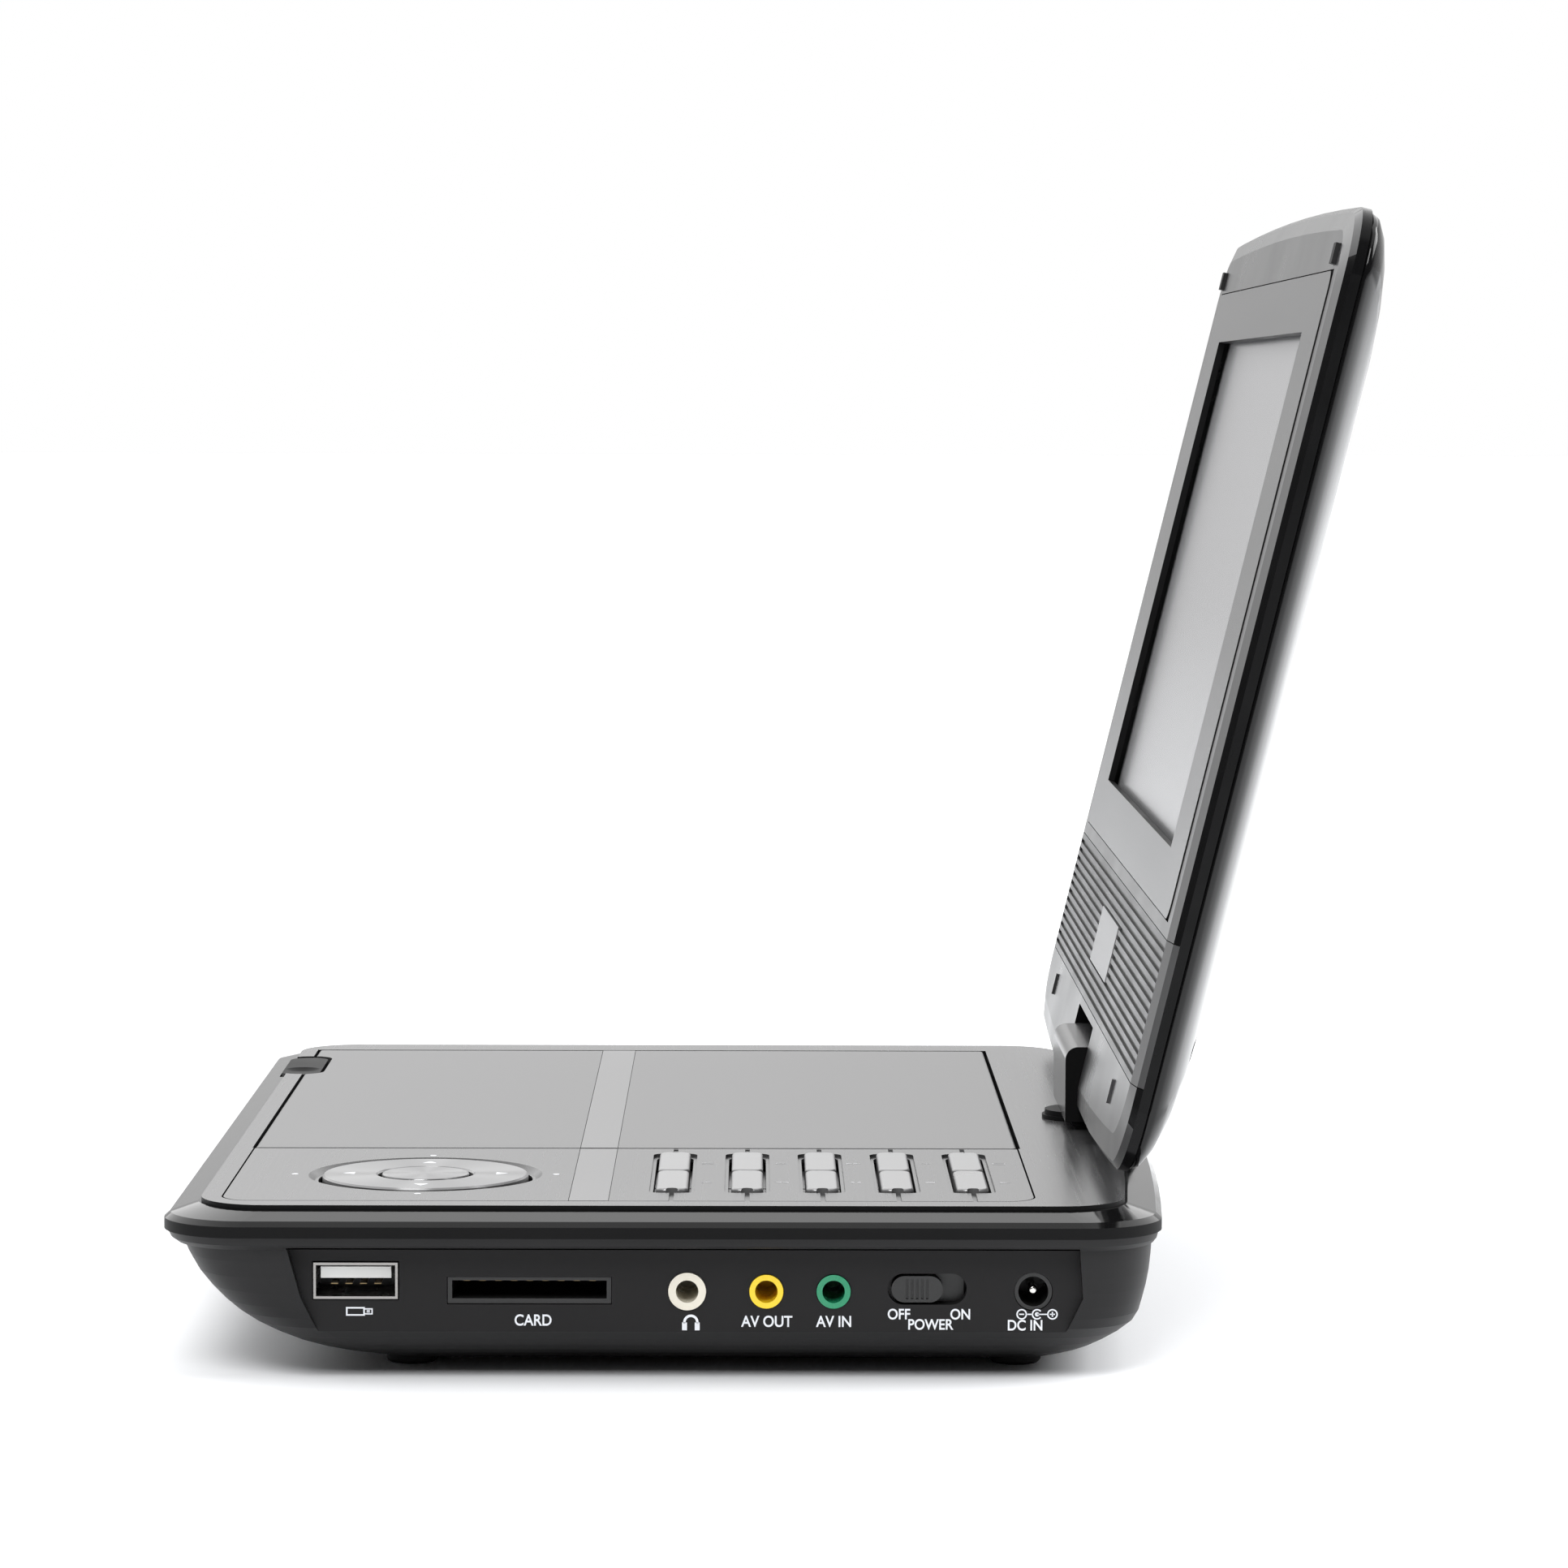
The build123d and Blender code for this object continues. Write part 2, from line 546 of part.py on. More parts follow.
with BuildPart() as sled_motor:
    add(rod_x((-39.5, -29.0), SCREW_Y, RAIL_Z, 2.7))
    add(bar((-39.5, -29.0), (SCREW_Y - 2.7, SCREW_Y + 2.7), (12.8, RAIL_Z)))
    add(bar((-37.5, -31.0), (SCREW_Y, SCREW_Y + 8.0), (12.8, 13.8)))
    add(rod_x((-41, -34.0), SCREW_Y, RAIL_Z, 1.25), mode=Mode.SUBTRACT)
save(sled_motor.part, "sled_motor")

with BuildPart() as lead_screw:
    add(rod_x((-98.3, -35.0), SCREW_Y, RAIL_Z, 1.2))
save(lead_screw.part, "lead_screw")

with BuildPart() as laser_sled:
    add(bar((SLED_X - 8, SLED_X + 8), (SPINDLE[1] - 16, SPINDLE[1] + 16), (13.6, 18.2)))
    for side in (-1, 1):
        add(bar((SLED_X - 6, SLED_X + 6), sorted((SPINDLE[1] + side * 15, SPINDLE[1] + side * 23)),
                (13.6, 17.8)))
    add(bar((SLED_X - 3, SLED_X + 3), (SPINDLE[1] + 22, SCREW_Y + 2.6), (13.6, 17.6)))
    add(post((SLED_X, SPINDLE[1]), (18.2, 19.2), 4.4))
    for y in RAIL_Y:
        add(rod_x((SLED_X - 9, SLED_X + 9), y, RAIL_Z, 1.55), mode=Mode.SUBTRACT)
    add(rod_x((SLED_X - 9, SLED_X + 9), SCREW_Y, RAIL_Z, 1.26), mode=Mode.SUBTRACT)
    add(post((SLED_X, SPINDLE[1]), (18.4, 20), 2.9), mode=Mode.SUBTRACT)
save(laser_sled.part, "laser_sled")

with BuildPart() as pickup_lens:
    add(post((SLED_X, SPINDLE[1]), (18.4, 19.4), 2.9))
    with Locations((SLED_X, SPINDLE[1], 17.0)):
        Sphere(3.1)
    split(bisect_by=Plane.XY.offset(18.4), keep=Keep.TOP)
save(pickup_lens.part, "pickup_lens")

# ---------------------------------------------------------------- electronics in the base
with BuildPart() as main_board:
    add(bar((48.0, 103.3), (FRONT + 22.5, FRONT + 146), (BOARD_TOP - 1.6, BOARD_TOP)))
    # soldered packages
    for x, y, size, tall in ((66, 60, 18, 1.6), (70, 92, 14, 1.6), (60, 120, 10, 2.4), (76, 36, 9, 1.4)):
        add(bar((x - size / 2, x + size / 2), (FRONT + y - size / 2, FRONT + y + size / 2),
                (BOARD_TOP, BOARD_TOP + tall)))
save(main_board.part, "main_board")

with BuildPart() as battery_pack:
    add(bar((-92.5, -2.0), (SPINDLE[1] - 27, SPINDLE[1] + 31), (3.8, 10.4)))
    fillet(battery_pack.edges().filter_by(Axis.X), 1.5)
save(battery_pack.part, "battery_pack")

with BuildPart() as usb_shell:
    usb_x = (93.0, SOCKET_FACE + 0.3)
    add(bar(usb_x, (USB_Y - 6.7, USB_Y + 6.7), (USB_Z - 2.9, USB_Z + 2.9)))
    add(bar((94.0, 110), (USB_Y - 6.3, USB_Y + 6.3), (USB_Z - 2.5, USB_Z + 2.5)), mode=Mode.SUBTRACT)
    # feet folded down to the board
    for y in (USB_Y - 6.7, USB_Y + 6.2):
        add(bar((94.0, 103.0), (y, y + 0.5), (BOARD_TOP, USB_Z - 2.5)))
save(usb_shell.part, "usb_shell")

with BuildPart() as usb_tongue:
    add(bar((94.0, 96.0), (USB_Y - 6.3, USB_Y + 6.3), (USB_Z - 2.5, USB_Z + 2.5)))
    add(bar((96.0, SOCKET_FACE - 0.8), (USB_Y - 5.6, USB_Y + 5.6), (USB_Z + 0.3, USB_Z + 2.1)))
save(usb_tongue.part, "usb_tongue")

with BuildPart() as card_socket:
    add(bar((78.0, SOCKET_FACE - 0.4), (CARD_Y - 13.0, CARD_Y + 13.0), (CARD_Z - 2.2, CARD_Z + 2.0)))
    add(bar((78.0, 103.2), (CARD_Y - 13.0, CARD_Y + 13.0), (BOARD_TOP, CARD_Z - 2.2)))
    add(bar((79.0, 110), (CARD_Y - 12.3, CARD_Y + 12.3), (CARD_Z - 1.4, CARD_Z + 1.5)),
        mode=Mode.SUBTRACT)
save(card_socket.part, "card_socket")


def jack(y, radius):
    """A 3.5 mm socket: a block on the board with a barrel through the wall."""
    with BuildPart() as socket:
        add(bar((90.0, SOCKET_FACE - 2.7), (y - 3.2, y + 3.2), (BOARD_TOP, JACK_Z + 3.1)))
        add(rod_x((SOCKET_FACE - 3, SOCKET_FACE + 0.3), y, JACK_Z, radius))
        add(rod_x((91.5, 112), y, JACK_Z, JACK_BORE_R), mode=Mode.SUBTRACT)
    return socket.part


save(jack(PHONES_Y, PHONES_R), "headphone_jack")
save(jack(AV_OUT_Y, AV_R), "av_out_jack")
save(jack(AV_IN_Y, AV_R), "av_in_jack")

with BuildPart() as dc_jack:
    add(bar((91.0, SOCKET_FACE - 2.7), (DC_Y - 4.5, DC_Y + 4.5), (BOARD_TOP, JACK_Z + 4.2)))
    add(rod_x((SOCKET_FACE - 3, SOCKET_FACE - 0.4), DC_Y, JACK_Z, PHONES_R))
    add(rod_x((93.0, 112), DC_Y, JACK_Z, 2.4), mode=Mode.SUBTRACT)
save(dc_jack.part, "dc_jack")

with BuildPart() as dc_pin:
    add(rod_x((93.0, SOCKET_FACE - 1.6), DC_Y, JACK_Z, 0.7))
    fillet(dc_pin.edges().group_by(Axis.X)[-1], 0.4)
save(dc_pin.part, "dc_pin")

with BuildPart() as switch_body:
    add(bar((92.0, 100.6), (SWITCH_Y - 7, SWITCH_Y + 7), (BOARD_TOP, SWITCH_Z + 3.2)))
save(switch_body.part, "switch_body")

SLIDER_REST = SWITCH_Y - 1.6
with BuildPart() as power_slider:
    add(bar((101.0, 103.2), (SLIDER_REST - 7.5, SLIDER_REST + 7.5), (SWITCH_Z - 3.0, SWITCH_Z + 3.0)))
    with BuildSketch(Plane.YZ.offset(103.2)):
        with Locations((SLIDER_REST, SWITCH_Z)):
            SlotOverall(8.2, 4.2)
    extrude(amount=SOCKET_FACE + 0.1 - 103.2)
    # finger ribs
    for offset_y in (-1.6, -0.8, 0.0, 0.8, 1.6):
        add(bar((SOCKET_FACE - 0.3, 108), (SLIDER_REST + offset_y - 0.2, SLIDER_REST + offset_y + 0.2),
                (SWITCH_Z - 1.6, SWITCH_Z + 1.6)), mode=Mode.SUBTRACT)
save(power_slider.part, "power_slider")

# ---------------------------------------------------------------- turret
with BuildPart() as swivel_plate:
    add(bar((-19, 19), (TURRET_Y - 9.5, TURRET_Y + 4.0), (TOP - TOP_WALL - 1.6, TOP - TOP_WALL)))
    add(post((0, TURRET_Y), (20, 30), SHAFT_R + FIT), mode=Mode.SUBTRACT)
save(swivel_plate.part, "swivel_plate")

NECK_BOTTOM = TOP + 1.6
with BuildPart() as turret:
    add(post((0, TURRET_Y), (TOP + 0.1, TOP + 0.7), TURRET_R))
    add(post((0, TURRET_Y), (TOP + 0.7, NECK_BOTTOM), TURRET_R - 0.5))
    add(post((0, TURRET_Y), (21.6, TOP + 0.1), SHAFT_R))
    with BuildSketch(Plane.YZ.offset(-NECK_HALF)) as neck:
        with BuildLine():
            Polyline((HINGE_Y - 7.6, NECK_BOTTOM), (HINGE_Y - 7.6, HINGE_Z + 8.2),
                     (HINGE_Y + 7.4, HINGE_Z + 8.2), (HINGE_Y + 7.4, NECK_BOTTOM), close=True)
        make_face()
        fillet(neck.vertices().sort_by(Axis.Y)[-2:].sort_by(Axis.X)[0], 2.2)
    extrude(amount=2 * NECK_HALF)
    fillet(turret.edges().filter_by(Axis.X).group_by(Axis.Z)[-1].sort_by(Axis.Y)[-1], 5.0)
    add(rod_x((-20, 20), HINGE_Y, HINGE_Z, PIN_R), mode=Mode.SUBTRACT)
    add(post((0, TURRET_Y), (20.0, NECK_BOTTOM), CABLE_BORE_R), mode=Mode.SUBTRACT)
save(turret.part, "turret")

with BuildPart() as swivel_clip:
    add(post((0, TURRET_Y), (22.5, 23.9), SHAFT_R + 2.5))
    add(post((0, TURRET_Y), (20, 26), SHAFT_R), mode=Mode.SUBTRACT)
save(swivel_clip.part, "swivel_clip")

with BuildPart() as hinge_pin:
    add(rod_x((-33, 33), HINGE_Y, HINGE_Z, PIN_R))
save(hinge_pin.part, "hinge_pin")

# ---------------------------------------------------------------- lid
AXIS_OUT = -HINGE_TO_FACE
notch = lid_bar((-NOTCH_HALF, NOTCH_HALF), (-20, NOTCH_TOP), (-30, 10))


def lid_sheet(levels, ruled):
    """A body through lid outlines at several distances from the inner face."""
    sections = [Pos(0, 0, out) * lid_outline(inset, top) for out, inset, top in levels]
    return LID.location * loft(sections, ruled=ruled, mode=Mode.PRIVATE)


def hinge_round(radius, x):
    """A bar along the hinge axis, in the lid."""
    middle, length = span(*x)
    return Pos(middle, HINGE_Y, HINGE_Z) * Rot(0, 90, 0) * Cylinder(radius, length, mode=Mode.PRIVATE)


# everything below the hinge axis has to stay inside this round nose to swing over the base
below_hinge = lid_bar((-120, 120), (-12, 0), (-30, 10))
nose = hinge_round(5.9, (-120, 120))
swing_cut = below_hinge - nose

frame_blank = lid_sheet([(LID_SPLIT, 0, 0), (-1.8, 0, 0)], True)
frame_blank += lid_sheet([(-1.8, 0, 0), (-0.8, 1.0, 1.0)], True)
frame_blank += lid_sheet([(-0.8, 1.0, 1.0), (0, 5.0, 4.0)], True)
frame_blank -= swing_cut
frame_blank -= notch
grille_band = lid_bar((-120, 120), GRILLE, (-1.8, 5))

with BuildPart() as lid_frame:
    add(frame_blank)
    # hollow behind
    with BuildSketch(LID.offset(LID_SPLIT - 1)) as lid_hollow:
        add(lid_outline(2.0))
        with Locations((0, 2)):
            Rectangle(40.8, 26, mode=Mode.SUBTRACT)
    extrude(amount=2.0, mode=Mode.SUBTRACT)
    add(hinge_round(PIN_R + 0.3, (-33.4, 33.4)), mode=Mode.SUBTRACT)
    for side in (-1, 1):
        add(hinge_round(4.3, sorted((side * 20.4, side * 33.4))), mode=Mode.SUBTRACT)
    add(grille_band, mode=Mode.SUBTRACT)
    # seat of the bezel and window of the screen
    add(lid_bar((-100.8, 100.8), (BEZEL[0] - 0.3, BEZEL[1] + 0.3), (-1.0, 5)), mode=Mode.SUBTRACT)
    add(lid_bar((-80, 80), (SCREEN_MIDDLE - 46, SCREEN_MIDDLE + 46), (-5, 5)), mode=Mode.SUBTRACT)
    # rubber pads sit in blind holes
    for x in (-100, 100):
        add(lid_bar((x - 1.8, x + 1.8), (145.6, 149.2), (-0.5, 5)), mode=Mode.SUBTRACT)
save(lid_frame.part, "lid_frame")

with BuildPart() as speaker_grille:
    add(frame_blank & lid_bar((-120, 120), (GRILLE[0] + 0.15, GRILLE[1] - 0.15), (-1.8, 5)))
    rib_pitch = (GRILLE[1] - GRILLE[0]) / 14
    for rib in range(1, 14):
        up = GRILLE[0] + rib * rib_pitch
        add(lid_bar((-106, 106), (up - 0.4, up + 0.4), (-0.55, 5)), mode=Mode.SUBTRACT)
    # flat seat for the name plate
    add(lid_bar((-20.3, 20.3), (18.7, 29.3), (-0.6, 5)), mode=Mode.SUBTRACT)
save(speaker_grille.part, "speaker_grille")

with BuildPart() as name_plate:
    add(lid_bar((-20, 20), (19, 29), (-0.6, 0.1)))
save(name_plate.part, "name_plate")

with BuildPart() as screen_bezel:
    add(lid_bar((-100.5, 100.5), BEZEL, (-1.0, 0.2)))
    fillet(screen_bezel.edges().filter_by(lambda e: abs(e.length - 1.2) < 0.01), 3.0)
    add(lid_bar((-SCREEN[0] / 2, SCREEN[0] / 2),
                (SCREEN_MIDDLE - SCREEN[1] / 2, SCREEN_MIDDLE + SCREEN[1] / 2), (-5, 5)),
        mode=Mode.SUBTRACT)
save(screen_bezel.part, "screen_bezel")

LCD_FRONT, LCD_BACK = -2.45, -5.7
with BuildPart() as lcd_panel:
    add(lid_bar((-79.6, 79.6), (SCREEN_MIDDLE - 45.6, SCREEN_MIDDLE + 45.6), (LCD_FRONT, -2.0)))
    add(lid_bar((-82.5, 82.5), (SCREEN_MIDDLE - 50, SCREEN_MIDDLE + 50), (LCD_BACK, LCD_FRONT)))
save(lcd_panel.part, "lcd_panel")

with BuildPart() as lid_pads:
    for x in (-100, 100):
        add(lid_bar((x - 1.7, x + 1.7), (145.7, 149.1), (-0.5, 0.8)))
    for x in (-80, 80):
        add(lid_bar((x - 0.6, x + 0.6), (5.4, 9.4), (0, 0.5)))
save(lid_pads.part, "lid_pads")

COVER_STEPS = 8


def cover_levels(edge_inset, flat_inset, depth):
    """Outlines of a shallow dish whose section is a quarter of an ellipse."""
    levels = []
    for step in range(COVER_STEPS + 1):
        turn = radians(90 * step / COVER_STEPS)
        inset = edge_inset + (flat_inset - edge_inset) * (1 - cos(turn))
        levels.append((LID_SPLIT - depth * sin(turn), inset, inset))
    return levels


COVER_WALL = 1.6
cover_dish = lid_sheet(cover_levels(0.3, 42.0, LID_SPLIT - BACK_DEPTH), True)
cover_hollow = lid_sheet(cover_levels(2.2, 42.0, LID_SPLIT - BACK_DEPTH - COVER_WALL), True)
housing_room = cover_hollow + lid_bar((-33.4, 33.4), (0, 15), (-30, 10))
with BuildPart() as back_cover:
    add(cover_dish)
    add(cover_hollow, mode=Mode.SUBTRACT)
    # hinge housing at the bottom edge
    add(hinge_round(5.8, (-35, 35)))
    add(lid_bar((-35, 35), (0, 16), (AXIS_OUT - 5.8, LID_SPLIT)))
    add(lid_bar((-120, 120), (-20, 200), (LID_SPLIT, 5)), mode=Mode.SUBTRACT)
    add(lid_bar((-33.4, 33.4), (0, 36), (AXIS_OUT - 4.3, LID_SPLIT + 1)) & housing_room, mode=Mode.SUBTRACT)
    add(hinge_round(4.3, (-33.4, 33.4)), mode=Mode.SUBTRACT)
    add(swing_cut, mode=Mode.SUBTRACT)
    add(notch, mode=Mode.SUBTRACT)
    # screw posts with sunk heads
    for x, up in LID_SCREWS:
        add(lid_disc(x, up, (-8.4, LID_SPLIT), 3.6))
        add(lid_disc(x, up, (-15, SCREW_SEAT), 2.3), mode=Mode.SUBTRACT)
        add(lid_disc(x, up, (-15, LID_SPLIT), 1.1), mode=Mode.SUBTRACT)
save(back_cover.part, "back_cover")

with BuildPart() as hinge_arms:
    for side in (-1, 1):
        low, high = sorted((side * 20.5, side * 32.5))
        add(hinge_round(4.0, (low, high)))
        add(lid_bar((low, high), (0, 34), (AXIS_OUT - 0.6, AXIS_OUT + 0.6)))
    add(hinge_round(PIN_R + 0.05, (-40, 40)), mode=Mode.SUBTRACT)
save(hinge_arms.part, "hinge_arms")

with BuildPart() as speakers:
    for x in (-72, 72):
        add(lid_disc(x, 24, (-6.8, -3.2), 10.0))
        add(lid_disc(x, 24, (-8.0, -6.8), 6.0))
save(speakers.part, "speakers")

with BuildPart() as lid_board:
    add(lid_bar((-50, 50), (70, 118), (LCD_BACK - 1.2, LCD_BACK)))
    add(lid_bar((-30, -12), (84, 102), (LCD_BACK - 2.2, LCD_BACK - 1.2)))
save(lid_board.part, "lid_board")

with BuildPart() as lid_screws:
    for x, up in LID_SCREWS:
        add(lid_disc(x, up, (SCREW_SEAT - 1.3, SCREW_SEAT), 2.2))
        add(lid_disc(x, up, (SCREW_SEAT, LID_SPLIT), 1.1))
        add(lid_disc(x, up, (SCREW_SEAT - 1.5, SCREW_SEAT - 0.6), 0.8), mode=Mode.SUBTRACT)
save(lid_screws.part, "lid_screws")
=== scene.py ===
"""Looks of the portable disc player: materials, printed marks, small parts, light and camera."""
import bmesh
import bpy
from math import cos, pi, radians, sin
from mathutils import Matrix, Vector


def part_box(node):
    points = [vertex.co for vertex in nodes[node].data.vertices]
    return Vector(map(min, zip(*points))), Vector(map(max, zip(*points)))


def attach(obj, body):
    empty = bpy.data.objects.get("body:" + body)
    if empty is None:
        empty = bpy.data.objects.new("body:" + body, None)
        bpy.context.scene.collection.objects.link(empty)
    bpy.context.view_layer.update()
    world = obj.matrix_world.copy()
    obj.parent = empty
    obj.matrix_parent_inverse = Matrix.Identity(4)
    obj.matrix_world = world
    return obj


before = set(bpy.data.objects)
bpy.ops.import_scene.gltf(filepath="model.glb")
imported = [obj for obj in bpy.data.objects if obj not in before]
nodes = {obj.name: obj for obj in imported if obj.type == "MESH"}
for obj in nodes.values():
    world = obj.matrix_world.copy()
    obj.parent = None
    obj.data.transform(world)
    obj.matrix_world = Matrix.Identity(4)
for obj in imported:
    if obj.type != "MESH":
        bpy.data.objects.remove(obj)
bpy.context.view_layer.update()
MM = 0.001


def mid(node):
    """Middle of a CAD node's box at rest."""
    low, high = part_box(node)
    return (low + high) / 2


# ---------------------------------------------------------------- materials
NOISE_LOW = 0.3      # the noise textures seldom leave this span
NOISE_HIGH = 0.7


class Shader:
    """Builds one node material step by step."""

    def __init__(self, name, **sockets):
        self.material = bpy.data.materials.new(name)
        self.material.use_nodes = True
        self.tree = self.material.node_tree
        self.bsdf = self.tree.nodes["Principled BSDF"]
        self.place = self.add("ShaderNodeTexCoord").outputs["Object"]
        for socket, value in sockets.items():
            self.bsdf.inputs[socket.replace("_", " ")].default_value = value

    def add(self, kind, **settings):
        node = self.tree.nodes.new(kind)
        for key, value in settings.items():
            setattr(node, key, value)
        return node

    def join(self, output, target):
        self.tree.links.new(output, target)

    def noise(self, scale, detail=3.0, stretch=None):
        """Noise over the object; stretch gives a different scale to each axis."""
        source = self.place
        if stretch:
            mapping = self.add("ShaderNodeMapping")
            mapping.inputs["Scale"].default_value = stretch
            self.join(source, mapping.inputs["Vector"])
            source = mapping.outputs["Vector"]
        node = self.add("ShaderNodeTexNoise")
        node.inputs["Scale"].default_value = scale
        node.inputs["Detail"].default_value = detail
        self.join(source, node.inputs["Vector"])
        return node.outputs["Fac"]

    def colour(self, fac, dark, light):
        ramp = self.add("ShaderNodeValToRGB")
        ramp.color_ramp.elements[0].position = NOISE_LOW
        ramp.color_ramp.elements[1].position = NOISE_HIGH
        ramp.color_ramp.elements[0].color = (*dark, 1)
        ramp.color_ramp.elements[1].color = (*light, 1)
        self.join(fac, ramp.inputs["Fac"])
        self.join(ramp.outputs["Color"], self.bsdf.inputs["Base Color"])

    def rough(self, fac, low, high):
        span = self.add("ShaderNodeMapRange")
        span.inputs["From Min"].default_value = NOISE_LOW
        span.inputs["From Max"].default_value = NOISE_HIGH
        span.inputs["To Min"].default_value = low
        span.inputs["To Max"].default_value = high
        self.join(fac, span.inputs["Value"])
        self.join(span.outputs["Result"], self.bsdf.inputs["Roughness"])

    def bump(self, fac, strength, depth):
        node = self.add("ShaderNodeBump")
        node.inputs["Strength"].default_value = strength
        node.inputs["Distance"].default_value = depth
        self.join(fac, node.inputs["Height"])
        self.join(node.outputs["Normal"], self.bsdf.inputs["Normal"])


def shade(colour, factor):
    return tuple(min(1.0, channel * factor) for channel in colour)


def moulded(name, colour, rough, grain=0.25, grain_size=0.0006, **sockets):
    """Moulded plastic: a fine spark-eroded grain and slow changes of sheen."""
    look = Shader(name, **sockets)
    slow = look.noise(35, 2)
    look.colour(slow, shade(colour, 0.86), shade(colour, 1.14))
    look.rough(slow, rough * 0.88, rough * 1.12)
    look.bump(look.noise(1 / grain_size, 2), grain, 0.00004)
    return look.material


def polished(name, colour, rough=0.12, **sockets):
    """Glossy plastic: nearly smooth, with slight waviness and a haze of fine marks."""
    look = Shader(name, **sockets)
    wave = look.noise(18, 2)
    look.colour(wave, shade(colour, 0.85), shade(colour, 1.2))
    look.rough(look.noise(120, 4), rough * 0.7, rough * 1.5)
    look.bump(wave, 0.05, 0.0002)
    return look.material


def brushed(name, colour, rough, stretch=(25, 1800, 1800), contrast=0.25, grain=0.2, sheen=0.2, **sockets):
    """Brushed film or metal: long thin streaks along the axis with the smallest stretch."""
    look = Shader(name, **sockets)
    streaks = look.noise(1.0, 3, stretch)
    look.colour(streaks, shade(colour, 1 - contrast), shade(colour, 1 + contrast))
    look.rough(streaks, rough * (1 - sheen), rough * (1 + sheen))
    look.bump(streaks, grain, 0.00003)
    return look.material


housing = moulded("satin_housing", (0.014, 0.0138, 0.0143), 0.42, 0.15, Specular_IOR_Level=0.2)
socket_panel = moulded("socket_panel", (0.0145, 0.014, 0.0145), 0.5, 0.1, Specular_IOR_Level=0.17)
gloss = polished("gloss_black", (0.004, 0.004, 0.0042), 0.08, Specular_IOR_Level=0.28)
edge_black = polished("edge_black", (0.004, 0.004, 0.0042), 0.2, Specular_IOR_Level=0.12)
satin_lid = moulded("satin_lid", (0.035, 0.035, 0.036), 0.3, 0.08, 0.0008, Specular_IOR_Level=0.7)
film = brushed("brushed_dark_film", (0.05, 0.05, 0.051), 0.26, (25, 1500, 1500), 0.22, 0.01, 0.08,
               Specular_IOR_Level=0.6)
door_film = brushed("satin_door_film", (0.05, 0.05, 0.051), 0.25, (8, 90, 90), 0.02, 0.0, 0.02,
                    Specular_IOR_Level=0.52)
bezel_film = brushed("satin_bezel", (0.035, 0.035, 0.036), 0.26, (8, 90, 90), 0.03, 0.0, 0.03,
                     Specular_IOR_Level=0.5)
stripe = brushed("light_stripe", (0.11, 0.11, 0.112), 0.24, (8, 90, 90), 0.02, 0.0, 0.03,
                 Specular_IOR_Level=0.55)
silver = brushed("satin_silver_key", (0.27, 0.27, 0.273), 0.3, (60, 60, 60), 0.05, 0.0, 0.1, Metallic=0.5)
rubber = moulded("soft_rubber", (0.014, 0.014, 0.014), 0.75, 0.5, 0.0009, Specular_IOR_Level=0.3)
zinc = brushed("zinc_screw", (0.45, 0.45, 0.43), 0.35, (900, 900, 60), 0.15, 0.2, Metallic=1.0)
sheet_steel = brushed("galvanised_sheet", (0.5, 0.51, 0.52), 0.4, (40, 900, 900), 0.12, 0.2, Metallic=1.0)
plated = polished("plated_steel", (0.62, 0.61, 0.58), 0.16, Metallic=1.0)
dull_steel = brushed("dull_steel", (0.3, 0.29, 0.28), 0.28, (60, 60, 900), 0.1, 0.05, Metallic=1.0)
solder_mask = moulded("green_board", (0.01, 0.09, 0.035), 0.35, 0.2, 0.0008)
wrap = moulded("battery_wrap", (0.03, 0.05, 0.1), 0.4, 0.15, 0.002)
black_plastic = moulded("black_insulator", (0.012, 0.012, 0.012), 0.38)
white_plastic = moulded("white_insulator", (0.78, 0.78, 0.76), 0.35, 0.15)
cream = polished("cream_jack", (0.72, 0.68, 0.58), 0.25)
yellow = polished("yellow_jack", (0.9, 0.6, 0.015), 0.25)
green = polished("green_jack", (0.008, 0.24, 0.11), 0.25)
grille = moulded("grille_black", (0.05, 0.05, 0.051), 0.34, 0.15)
plate = brushed("plain_plate", (0.22, 0.22, 0.223), 0.3, (8, 300, 300), 0.04, 0.0, 0.05, Metallic=0.5)
satin_black = moulded("satin_black", (0.006, 0.006, 0.0062), 0.5, 0.2, Specular_IOR_Level=0.1)
# the unlit display's grey is partly its own colour and partly a painted reflection of the pale surroundings
lcd = brushed("display_grey_and_painted_reflection", (0.26, 0.26, 0.267), 0.22, (5, 30, 30), 0.03, 0.0, 0.04,
              Specular_IOR_Level=0.9)
lens = polished("coated_lens", (0.3, 0.35, 0.6), 0.04, Transmission_Weight=0.7)
cast = moulded("cast_sled", (0.28, 0.28, 0.3), 0.45, 0.3, 0.0008, Metallic=0.8)
spun = brushed("spun_silver", (0.26, 0.26, 0.263), 0.3, (60, 60, 1500), 0.06, 0.0, 0.05, Metallic=1.0,
               Anisotropic=0.95, Anisotropic_Rotation=0.25)
ink = moulded("white_ink", (0.8, 0.82, 0.86), 0.5, 0.1, 0.0004)
faint_ink = moulded("grey_ink", (0.34, 0.34, 0.35), 0.5, 0.1, 0.0004)
bronze = polished("dark_contact", (0.2, 0.15, 0.08), 0.3, Metallic=1.0)

# the sheen of the spun parts runs round them
swirl = spun.node_tree.nodes.new("ShaderNodeTangent")
swirl.direction_type = "RADIAL"
swirl.axis = "Z"
spun.node_tree.links.new(swirl.outputs["Tangent"], spun.node_tree.nodes["Principled BSDF"].inputs["Tangent"])

